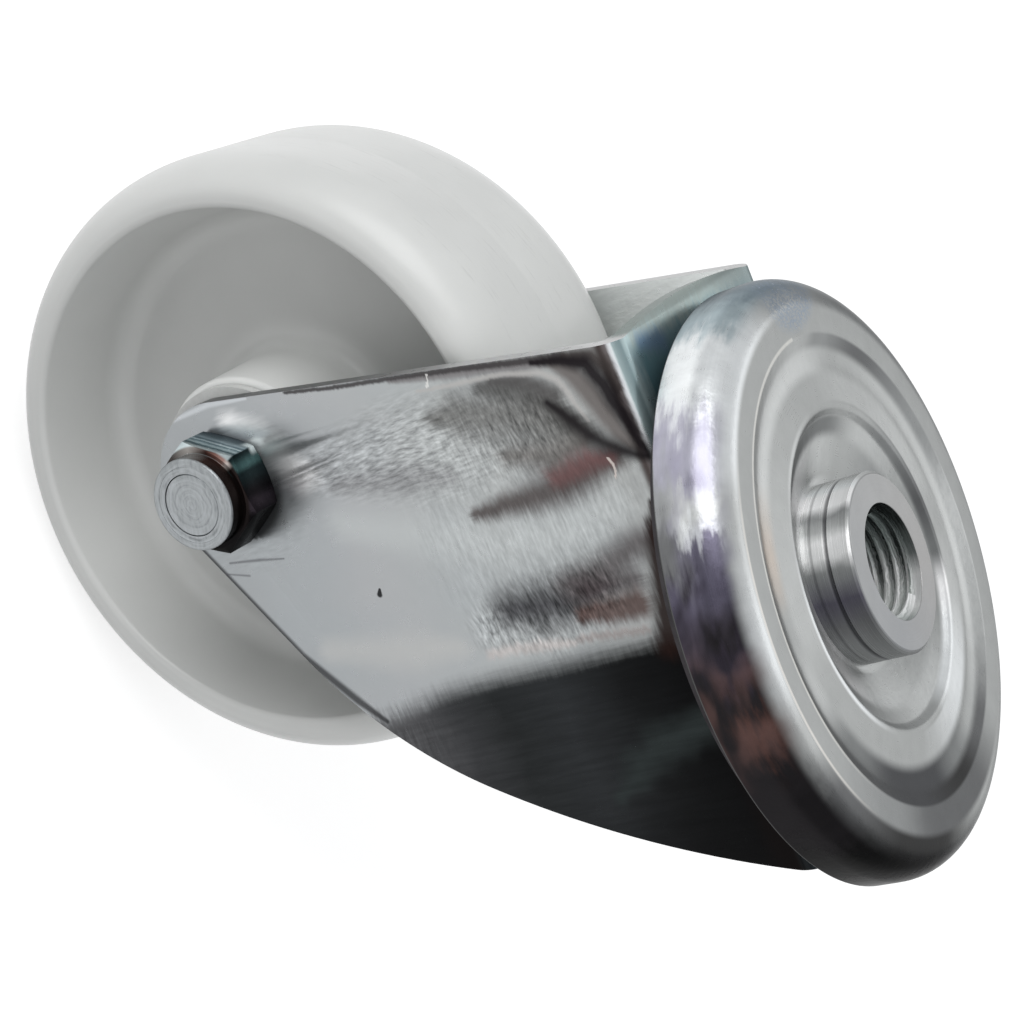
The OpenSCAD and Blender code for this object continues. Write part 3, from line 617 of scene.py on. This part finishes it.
def nutLook():  # lock nut: bright zinc, dark mirrored flats on one side and teal ones on the other
    look = Look("bright zinc, lock nut", Metallic=0.7, **softEdges)
    x, y, z, inMm = look.place()
    acrossX, acrossZ = x - axleX, z - axleZ
    radius = (acrossX * acrossX + acrossZ * acrossZ) ** 0.5
    angle = acrossX.math("ARCTAN2", acrossZ) / (2 * math.pi) + 0.5  # 0.25 at -X, 0.5 at +Z, 0.75 at +X
    away = y.math("ABSOLUTE")  # the same finish on the bolt head
    near = 1 - fade(y, -1, 1)
    streak = grain(angle * 40, away * 1.6, radius * 0.3)
    # painted reflections on the hexagon: teal streaks on the flats at the top, dark flats round the rest
    topFlatReflection = ramp(fade(away + streak * 0.6, 20.7, 26.3), [
        (0.0, 56, 70, 78), (0.18, 96, 112, 118), (0.34, 150, 166, 172), (0.44, 84, 104, 112),
        (0.56, 188, 204, 208), (0.64, 96, 118, 124), (0.78, 176, 194, 198), (0.9, 70, 92, 98),
        (1.0, 208, 220, 222)])
    sideReflection = ramp(angle, [
        (0.0, 14, 14, 15), (0.08, 20, 20, 22), (0.15, 120, 124, 128), (0.30, 128, 140, 146),
        (0.414, 70, 90, 96), (0.418, 22, 34, 36), (0.45, 70, 98, 98), (0.47, 30, 42, 44),
        (0.53, 24, 22, 25), (0.56, 50, 44, 50), (0.6, 14, 13, 15), (0.7, 9, 9, 10), (1.0, 14, 14, 15)], "EASE")
    onTop = between(angle, 0.19, 0.415, 0.004)
    colour = mix(onTop, scaled(sideReflection, 1 + streak * 0.8), topFlatReflection)
    # painted highlight near one corner of the hexagon
    cornerHighlight = between(angle, 0.395, 0.43, 0.012) * between(away, 20.9, 22.2, 0.4)
    colour = mix(cornerHighlight * 0.9, colour, tone(226, 238, 238))
    # the chamfered end of the hexagon, between its corners and the collar: painted reflections, dark and brownish with
    # one bright facet
    onEnd = fade(away, 26.0, 26.2) * fade(radius, 5.85, 5.95) * near
    endReflection = ramp(angle, [
        (0.0, 16, 15, 15), (0.2, 70, 66, 64), (0.27, 150, 146, 142), (0.34, 60, 40, 36),
        (0.37, 122, 88, 80), (0.405, 176, 140, 130), (0.42, 226, 214, 208), (0.44, 40, 32, 31),
        (0.7, 14, 13, 14), (1.0, 16, 15, 15)])
    colour = mix(onEnd, colour, endReflection)
    # painted reflection and shade round the nut's collar: grey and brownish at the top, near black below
    onCollar = fade(away, 26.3, 26.45) * fade(radius, 5.3, 5.7) * near
    collarReflection = ramp(angle, [
        (0.0, 14, 13, 14), (0.12, 60, 58, 58), (0.2, 150, 150, 150), (0.3, 170, 168, 166),
        (0.36, 70, 52, 48), (0.42, 40, 31, 29), (0.7, 12, 12, 13), (1.0, 14, 13, 14)])
    colour = mix(onCollar, colour, collarReflection)
    face = fade(away + (1 - near) * 0.9, 28.2, 28.4)
    bent = noise(inMm, 0.35, 2.0) - 0.5
    rings = grain(radius * 2.6 + bent * 3, angle * 1.4, 0.0)
    brushed = noise(vector(x * 0.7 + z * 1.9, z * 0.4 - x * 0.4, y), 1.2, 3.0, 0.6) - 0.5
    facePaint = ramp(fade(rings * 0.6 + brushed * 0.4, -0.2, 0.2), [
        (0, 140, 144, 146), (0.4, 162, 166, 168), (1, 180, 184, 187)])
    marks = between(radius + bent * 0.6, 4.3, 4.55, 0.14) * fade(noise(inMm, 0.45), 0.46, 0.6)
    innerMarks = between(radius + bent, 3.0, 3.15, 0.1) * fade(noise(inMm, 0.7), 0.55, 0.66)
    facePaint = mix(marks.math("MAXIMUM", innerMarks) * 0.4, facePaint, tone(92, 94, 96))
    colour = mix(face, colour, facePaint)
    return look.finish(colour, 0.26 + face * 0.14 + streak * 0.08, (rings + brushed) * face, 0.35, 0.00018)


def bushLook():  # turned bush: bright collar and face, with the collar's mirrored room painted round it, and painted highlights and shade on the threads
    look = Look("bright zinc, turned bush", Metallic=0.5, **softEdges)
    x, y, z, inMm = look.place()
    radius = (x * x + y * y) ** 0.5
    angle = y.math("ARCTAN2", x) / (2 * math.pi) + 0.5
    # painted reflections round the collar
    collar = ramp(angle + (noise(inMm, 0.4, 2.0) - 0.5) * 0.02, [
        (degrees / 360, shine) for degrees, shine in ringReflections["collar"]])
    turned = grain(z * 6, angle * 2, 0.0)
    collar = scaled(collar, 1 + turned * 0.4)
    line = between(z, -3.4, -2.9, 0.14).math("MAXIMUM", between(z, -5.2, -4.9, 0.12) * 0.6)
    collar = mix(line * 0.7, collar, tone(46, 46, 50))
    lathe = grain(radius * 5, angle * 1.5, 0.0)
    smudge = noise(inMm, 0.3, 3.0) - 0.5
    facePaint = scaled(ramp(angle, [
        (0, 176, 177, 177), (0.4, 164, 166, 168), (0.7, 176, 175, 174), (1, 176, 177, 177)]),
        1 + lathe * 0.1 + smudge * 0.16)
    colour = mix(fade(z, -0.18, -0.06), collar, facePaint)
    # painted light and shade in the bore: highlights on the thread crests, darker roots, painted shade deeper down and
    # a painted highlight at the mouth
    wander = noise(inMm, 0.55, 3.0, 0.6, 0.6) - 0.5
    crestHighlight = ramp(angle + wander * 0.1, [
        (0, 90, 98, 96), (0.3, 120, 128, 126), (0.45, 190, 196, 194), (0.52, 250, 252, 251),
        (0.68, 255, 255, 255), (0.76, 196, 204, 202), (0.84, 150, 160, 158), (1, 90, 98, 96)])
    rootReflection = ramp(angle + wander * 0.1, [
        (0, 34, 38, 37), (0.3, 60, 66, 64), (0.5, 176, 182, 179), (0.62, 190, 196, 193),
        (0.7, 96, 104, 102), (0.8, 42, 47, 46), (1, 34, 38, 37)])
    hair = grain(radius * 2 + z * 4.2 + wander * 5, angle * 5, 0.0)
    lines = fade(hair, -0.14, 0.12)
    boreLightAndShade = mix(fade(radius, 6.35, 6.95) * 0.55 + (1 - lines) * 0.45, crestHighlight, rootReflection)
    boreLightAndShade = scaled(boreLightAndShade, 1 + hair * 1.5)
    deepShade = spot(z, angle * 40, (-9.0, 24.5), (3.4, 5.5), 0, 0.3)
    boreLightAndShade = mix(deepShade * 0.9, boreLightAndShade, tone(34, 44, 43))
    boreLightAndShade = mix((1 - fade(z, -17, -9)) * 0.7, boreLightAndShade, tone(44, 52, 50))
    mouth = fade(z, -1.5, -0.9)
    mouthHighlight = ramp(angle, [
        (0, 40, 44, 43), (0.5, 200, 206, 204), (0.56, 255, 255, 255), (0.66, 255, 255, 255),
        (0.72, 120, 126, 124), (0.82, 40, 44, 43), (1, 40, 44, 43)])
    boreLightAndShade = mix(mouth * 0.8, boreLightAndShade, mouthHighlight)
    inBore = (1 - fade(radius, 7.12, 7.2)) * (1 - fade(z, -0.12, -0.04))
    colour = mix(inBore, colour, boreLightAndShade)
    return look.finish(colour, 0.26 + turned * 0.12, turned + lathe, 0.2, 0.00012)


def steelLook(name, low, high, rough, scale):  # plain turned, rolled or polished steel
    look = Look(name, Metallic=1.0)
    inMm = look.place()[3]
    broad = noise(inMm, scale * 0.2, 2.0)
    fine = noise(inMm, scale, 4.0, 0.6)
    colour = ramp(broad * 0.6 + fine * 0.4, [(0.3, *low), (0.7, *high)])
    return look.finish(colour, rough + (fine - 0.5) * 0.12, fine, 0.08, 0.0002)


def plasticLook(name, low, high, rough, scale):
    look = Look(name)
    fine = noise(look.place()[3], scale, 4.0, 0.6)
    return look.finish(ramp(fine, [(0.3, *low), (0.7, *high)]), rough + (fine - 0.5) * 0.15, fine, 0.1, 0.0002)


looks = {
    "head": headLook(), "fork": forkLook(), "wheel": wheelLook(), "nut": nutLook(), "bush": bushLook(),
    "turned": steelLook("turned steel", (108, 109, 112), (136, 137, 140), 0.34, 1.2),
    "zinc": steelLook("bright zinc, plain", (150, 154, 156), (186, 188, 190), 0.26, 0.8),
    "race": steelLook("bright zinc, in the cap's shade", (46, 44, 46), (70, 68, 70), 0.34, 0.6),
    "ball": steelLook("polished steel", (176, 178, 180), (202, 203, 205), 0.12, 0.9),
    "seal": plasticLook("black seal", (28, 28, 30), (40, 40, 42), 0.5, 1.4),
    "insert": plasticLook("grey nylon insert", (92, 96, 100), (112, 116, 120), 0.45, 1.6),
    "pale": plasticLook("white washer plastic", (206, 207, 205), (216, 217, 215), 0.45, 1.2),
    "cage": plasticLook("grey cage plastic", (122, 122, 120), (142, 142, 140), 0.5, 1.2),
}
print("finishes made")


# Top cap: one pressed sheet, dished, with two rings and a rolled-down rim
capSizes = Settings(
    seat=-6.3, ringHeight=-1.9, thickness=2.0, rimRadius=36.25, rimBend=5.0,
    lowEdge=-9.7, holeRadius=9.05, stepRadius=28.3, grooveDepth=1.1,
    crestRadius=19.5, crestDepth=0.45, edge=0.25, steps=192,
)


def makeCap(s):
    top = s.ringHeight
    line = roundedLine([
        (s.holeRadius, s.seat), (11.8, s.seat, 2.0),
        (18.6, top - s.crestDepth - 0.85, 1.2), (s.crestRadius, top - s.crestDepth, 1.0),
        (s.stepRadius - 2.6, top - s.grooveDepth, 4.0), (s.stepRadius, top, 0.9),
        (s.rimRadius, top, s.rimBend), (s.rimRadius, s.lowEdge)], 14)
    piece = headRing("cap", sheetLine(line, s.thickness), s.steps)
    softenEdges(piece, s.edge, 50)
    finishPiece(piece)
    return piece


# Threaded bush: collar, shank and riveted end, with the thread cut in its bore
bushSizes = Settings(
    collar=11.0, collarHeight=6.3, shank=9.0, mouth=7.1, crest=6.2, root=7.05,
    rivetTop=-21.68, rivetRadius=11.25, rivetHeight=1.8, pitch=1.5, turns=15, threadTop=0.75,
)


def makeBush(s):
    end = s.rivetTop - s.rivetHeight
    split = -s.collarHeight / 2
    profile = roundedLine([
        (s.mouth, 0), (s.collar - 0.45, 0), (s.collar, -0.4), (s.collar, split + 0.35),
        (s.collar - 0.28, split + 0.1), (s.collar - 0.28, split - 0.1),
        (s.collar, split - 0.35), (s.collar, -s.collarHeight),
        (s.shank, -s.collarHeight), (s.shank, s.rivetTop),
        (s.rivetRadius, s.rivetTop), (s.rivetRadius, s.rivetTop - 0.8, 0.5),
        (s.rivetRadius - 1.6, end, 0.8), (s.root, end), (s.root, -0.05)], 6)
    body = headRing("bush", profile)
    # the thread: one tooth, turned up the bore with the Screw modifier
    pitch, root, crest = s.pitch, s.root + 0.15, s.crest + 0.02
    tooth = drawLine("thread", [
        (radius, 0, end + 0.1 + pitch * share)
        for radius, share in ((root, 0), (crest, 0.42), (crest, 0.58), (root, 0.98))])
    setMode("OBJECT")
    useModifier(tooth, "screw", "SCREW", axis="Z", angle=2 * math.pi, screw_offset=pitch * mm,
                iterations=s.turns, steps=72, render_steps=72, use_merge_vertices=False)
    setMode("EDIT")
    shape = bmesh.from_edit_mesh(tooth.data)
    for vertex in shape.verts:
        vertex.select_set(vertex.co.z > -s.threadTop * mm)
    bpy.ops.mesh.select_mode(type="VERT")
    bpy.ops.mesh.delete(type="VERT")
    turnOutward()
    setMode("OBJECT")
    piece = joinPieces(body, tooth)
    finishPiece(piece, 30)
    return piece


# Wheel: moulded in one piece, tread with big rounded edges, thin web and hub
wheelSizes = Settings(
    radius=40.0, halfWidth=16.0, edgeIn=4.6, edgeAlong=8.0, rimFoot=8.5, rimLip=6.0,
    halfWeb=2.5, hubRadius=12.8, halfHub=16.7, boreRadius=9.66, steps=192,
)


def makeWheel(s):
    half = [(s.boreRadius, s.halfHub - 0.4)] + roundedLine([
        (s.boreRadius + 0.4, s.halfHub), (s.hubRadius, s.halfHub, 0.8),
        (s.hubRadius + 0.6, s.halfWeb, 3.0), (s.radius - s.rimFoot, s.halfWeb, 3.5),
        (s.radius - s.rimLip, s.halfWidth, 1.0),
        (s.radius - s.edgeIn - 0.2, s.halfWidth)], 10)
    for i in range(25):
        a = math.radians(90 - 90 * i / 24)
        half.append((s.radius - s.edgeIn * (1 - math.cos(a)),
                     s.halfWidth - s.edgeAlong * (1 - math.sin(a))))
    profile = half + [(s.radius, 0.35), (s.radius - 0.05, 0.0), (s.radius, -0.35)]  # the mould's seam
    profile += [(r, -y) for r, y in half[::-1]]
    return axleRing("wheel", profile, s.steps)


# Fork: one sheet folded over the crown into both legs
forkSizes = Settings(
    outer=20.7, inner=18.2, crown=-12.46, under=-14.96, fold=3.0, insideFold=0.8,
    tip=10.8, back=36.8, slope=27.0, straight=21.0, lowBend=60.0, lowTurn=29.0,
    highBend=132.0, highTurn=22.0, crownHole=11.5, axleHole=4.1, edge=0.3, bulge=1.5,
    above=1.0, channelFoot=-90, channelStart=-60, channelLength=110, plateHalf=30,
)


def legOutline(s):
    def turnedFrom(centre, radius, degrees):
        a = math.radians(degrees)
        return (centre[0] + radius * math.cos(a), centre[1] + radius * math.sin(a))

    def sweep(centre, radius, first, last, count):
        return [turnedFrom(centre, radius, first + (last - first) * i / count) for i in range(count + 1)]

    slope, lowTurn, highTurn = s.slope, s.lowTurn, s.highTurn
    tip = (axleX, axleZ)
    start = turnedFrom(tip, s.tip, slope - 90)
    bend = turnedFrom(start, s.straight, slope)
    lowCentre = turnedFrom(bend, s.lowBend, slope + 90)
    highStart = turnedFrom(lowCentre, s.lowBend, slope - 90 + lowTurn)
    highCentre = turnedFrom(highStart, s.highBend, slope + lowTurn + 90)
    corner = (-s.back, s.crown)
    reach = math.hypot(corner[0] - tip[0], corner[1] - tip[1])
    tipEnd = math.degrees(math.atan2(corner[1] - tip[1], corner[0] - tip[0]) + math.acos(s.tip / reach))
    line = sweep(lowCentre, s.lowBend, slope - 90, slope - 90 + lowTurn, 24)
    line += sweep(highCentre, s.highBend, slope - 90 + lowTurn, slope - 90 + lowTurn + highTurn, 24)[1:]
    line += [(line[-1][0], s.above), (corner[0], s.above), corner]
    line += sweep(tip, s.tip, tipEnd, slope + 270, 40)
    return line


def makeFork(s):
    # the folded channel, drawn across the fork and pushed along it
    def fold(half, top, radius):
        turns = [math.radians(i * 90 / 12) for i in range(13)]
        side = [(half - radius + radius * math.cos(a), top - radius + radius * math.sin(a)) for a in turns]
        return side + [(-y, z) for y, z in side[::-1]]

    low, start, length, across = s.channelFoot, s.channelStart, s.channelLength, s.plateHalf
    section = [(s.outer, low)] + fold(s.outer, s.crown, s.fold) + [(-s.outer, low), (-s.inner, low)]
    section += fold(s.inner, s.under, s.insideFold)[::-1] + [(s.inner, low)]
    piece = drawLine("fork", [(start, y, z) for y, z in section])
    pushFace(piece, (length, 0, 0))
    plate = drawLine("outline", [(x, -across, z) for x, z in legOutline(s)])
    pushFace(plate, (0, 2 * across, 0))
    cutWith(piece, plate, "INTERSECT")
    # the crown's back edge swells out in a shallow arc
    width = s.outer - s.fold
    bulgeRadius = (width ** 2 + s.bulge ** 2) / (2 * s.bulge)
    spread = math.degrees(math.asin(width / bulgeRadius))
    middle = -s.back - s.bulge + bulgeRadius
    turns = [math.radians(-spread + 2 * spread * i / 24) for i in range(25)]
    swell = [(middle - bulgeRadius * math.cos(a), bulgeRadius * math.sin(a), s.under) for a in turns]
    swell += [(-s.back + 3, width, s.under), (-s.back + 3, -width, s.under)]
    lip = drawLine("swell", swell)
    pushFace(lip, (0, 0, s.crown - s.under))
    cutWith(piece, lip, "UNION")
    cutWith(piece, roundCutter("crownHole", s.crownHole, 12, (0, 0, s.crown)))
    cutWith(piece, roundCutter("axleHole", s.axleHole, 60, (axleX, 0, axleZ), (math.radians(90), 0, 0), 64))
    softenEdges(piece, s.edge, 40, 3)
    finishPiece(piece, 32)
    return piece


# Lock nut: chamfered hexagon, a rolled collar and the bolt's end in its insert
nutSizes = Settings(
    acrossFlats=13.0, hexHeight=5.6, height=8.0, collarRadius=5.9, leg=-20.7, bore=4.05,
    insertRadius=4.88, insertDepth=1.5, edge=0.12,
)


def makeHexagon(name, flats, first, last, chamferFirst):  # the last end is always chamfered
    corner = flats / 2 / math.cos(math.radians(30))
    clearSelection()
    bpy.ops.mesh.primitive_cylinder_add(vertices=6, radius=corner * mm, depth=abs(last - first) * mm,
                                        location=Vector((axleX, (first + last) / 2, axleZ)) * mm,
                                        rotation=(math.radians(90), math.radians(30), 0))
    piece = bpy.context.object
    piece.name = name
    flat, drop = flats / 2 - 0.1, (corner - flats / 2 + 0.1) * math.tan(math.radians(30))
    way = 1 if last > first else -1
    line = [(0, first)]
    line += [(flat, first), (corner, first + way * drop)] if chamferFirst else [(corner + 1, first)]
    line += [(corner, last - way * drop), (flat, last), (0, last)]
    cutWith(piece, axleRing(name + "Form", line), "INTERSECT")
    return piece


def makeNut(s):
    last, top = s.leg - s.hexHeight, s.leg - s.height
    piece = makeHexagon("nut", s.acrossFlats, s.leg, last, True)
    softenEdges(piece, s.edge, 28)
    collar = axleRing("collar", roundedLine([
        (s.bore, last + 1), (s.collarRadius, last + 1), (s.collarRadius, top, 0.4), (s.insertRadius, top),
        (s.insertRadius, top + s.insertDepth), (s.bore, top + s.insertDepth)]))
    piece = joinPieces(piece, collar)
    finishPiece(piece, 30)
    return piece


# Axle bolt: its threaded end in the nut and its head on the far side
boltSizes = Settings(
    radius=4.0, leg=20.7, washer=1.6, head=5.3, end=-28.5, flats=13.0, edge=0.14,
    tipRadius=3.85, endRadius=3.97, root=3.45, pitch=1.25, threadEnd=-14,
)


def makeBolt(s):
    shoulder = s.leg + s.washer
    piece = makeHexagon("bolt", s.flats, shoulder, shoulder + s.head, False)
    softenEdges(piece, s.edge, 28)
    tip, y, crest = s.end - 0.15, s.end + 0.6, s.radius - 0.02
    line = [(0, tip), (s.tipRadius, tip), (s.endRadius, s.end), (s.endRadius, y)]
    while y < s.threadEnd:  # thread rings, half a pitch up and half down
        line += [(crest, y + 0.5), (crest, y + 0.7), (s.root, y + 1.2)]
        y += s.pitch
    line += [(s.radius, y + 0.6), (s.radius, shoulder + 0.5), (0, shoulder + 0.5)]
    piece = joinPieces(piece, axleRing("shank", line, 64))
    finishPiece(piece, 30)
    return piece


# Plain turned rings, as points (radius, place along the axis, rounding)
ringLines = {
    "insert": [(4.02, -28.68), (4.86, -28.68), (4.86, -27.1), (4.02, -27.1)],
    "washer": [(4.1, 20.7), (8.0, 20.7), (8.0, 22.3, 0.3), (4.1, 22.3, 0.3), (4.1, 21.0)],
    "seal": [(32.4, -11.26), (33.75, -11.26), (33.75, -10.46, 0.25), (33.3, -10.46), (33.0, -10.8), (32.4, -10.8)],
}


cap = makeCap(capSizes)
print("cap pressed")
bush = makeBush(bushSizes)
print("bush turned and threaded")
wheel = makeWheel(wheelSizes)
print("wheel moulded")
fork = makeFork(forkSizes)
print("fork folded")
nut = makeNut(nutSizes)
bolt = makeBolt(boltSizes)
print("nut and bolt made")
insert = axleRing("insert", roundedLine(ringLines["insert"], 4), 64)
washer = axleRing("washer", roundedLine(ringLines["washer"], 4))
seal = headRing("seal", roundedLine(ringLines["seal"], 4), 160)

dress(cap, looks["head"], "head", "zinc_sheet", "top_cap")
dress(bush, looks["bush"], "head", "bush_steel", "king_bush")
dress(wheel, looks["wheel"], "wheel", "wheel_nylon", "wheel")
dress(fork, looks["fork"], "fork", "zinc_sheet", "fork")
dress(nut, looks["nut"], "fork", "bush_steel", "nut_body")
dress(bolt, looks["nut"], "fork", "bush_steel", "axle_bolt")
dress(insert, looks["nut"], "fork", "insert_plastic", "nut_insert")
dress(washer, looks["zinc"], "fork", "bush_steel", "bolt_washer")
dress(seal, looks["seal"], "fork", "seal_plastic", "dust_seal")

cadLooks = {
    "distance_collar": "turned", "lower_race": "zinc", "rivet_washer": "turned", "crown_race": "race",
    "upper_balls": "ball", "lower_balls": "ball", "axle_sleeve": "turned", "roller_cage": "cage",
    "rollers": "ball", "thrust_washer_near": "pale", "thrust_washer_far": "pale",
}
for name, finish in cadLooks.items():
    paint(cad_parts[name], looks[finish])
print("pieces dressed")


# Floor, light and camera
stageSizes = Settings(floor=-110.9, floorSize=4000, floorTone=0.5, glow=0.7, worldLevel=0.5)


def makeStage(s):
    clearSelection()
    bpy.ops.mesh.primitive_plane_add(size=s.floorSize * mm, location=(0, 0, s.floor * mm))
    floor = bpy.context.object
    floor.name = "floor"
    look = Look("pale floor", **{
        "Roughness": 1.0, "Base Color": (*(s.floorTone,) * 3, 1), "Specular IOR Level": 0.0,
        "Emission Color": (1, 1, 1, 1), "Emission Strength": 1.0})
    rays = look.node("ShaderNodeLightPath").socket.node.outputs
    seen = Wire(look, rays["Is Camera Ray"]).math("MAXIMUM", Wire(look, rays["Is Glossy Ray"]))
    seen = seen.math("MAXIMUM", Wire(look, rays["Is Transmission Ray"]))
    look.feed("Emission Color", mix(seen, (0, 0, 0), (s.glow,) * 3))
    floor.data.materials.append(look.material)


def makeWorld(level):
    world = bpy.data.worlds.new("studio")
    bpy.context.scene.world = world
    world.use_nodes = True
    background = world.node_tree.nodes["Background"].inputs
    background["Color"].default_value = (0.97, 0.985, 1.0, 1)
    background["Strength"].default_value = level


lamps = {  # name: place in mm, size in m, power in W
    "key": ((-620, -260, 480), 0.7, 3.2),
    "fill": ((180, -620, 300), 0.8, 1.0),
    "back": ((240, 560, 380), 0.8, 1.0),
}


def makeLamps(target=(-20, 0, -45)):
    for name, (place, size, power) in lamps.items():
        data = bpy.data.lights.new(name, "AREA")
        data.shape = "DISK"
        data.size = size
        data.energy = power
        lamp = bpy.data.objects.new(name, data)
        bpy.context.scene.collection.objects.link(lamp)
        lamp.location = Vector(place) * mm
        lamp.rotation_euler = (Vector(target) - Vector(place)).to_track_quat("-Z", "Y").to_euler()


cameraSizes = Settings(  # the photo's camera: its place in mm, and its right and back as directions
    lens=70.53, sensor=36, near=0.01, far=20, place=(-54.844, -210.872, 95.437),
    right=(0.37753, 0.47312, 0.79601), back=(-0.14040, -0.82044, 0.55423),
)


def makeCamera(s):
    data = bpy.data.cameras.new("photo")
    data.sensor_width, data.lens = s.sensor, s.lens
    data.clip_start, data.clip_end = s.near, s.far
    camera = bpy.data.objects.new("photo", data)
    bpy.context.scene.collection.objects.link(camera)
    right, back = Vector(s.right), Vector(s.back)
    turn = Matrix((right, back.cross(right), back)).transposed().to_4x4()
    camera.matrix_world = Matrix.Translation(Vector(s.place) * mm) @ turn
    bpy.context.scene.camera = camera


makeStage(stageSizes)
makeWorld(stageSizes.worldLevel)
makeLamps()
makeCamera(cameraSizes)
bpy.context.scene.view_settings.view_transform = "Standard"
print("stage and camera set")
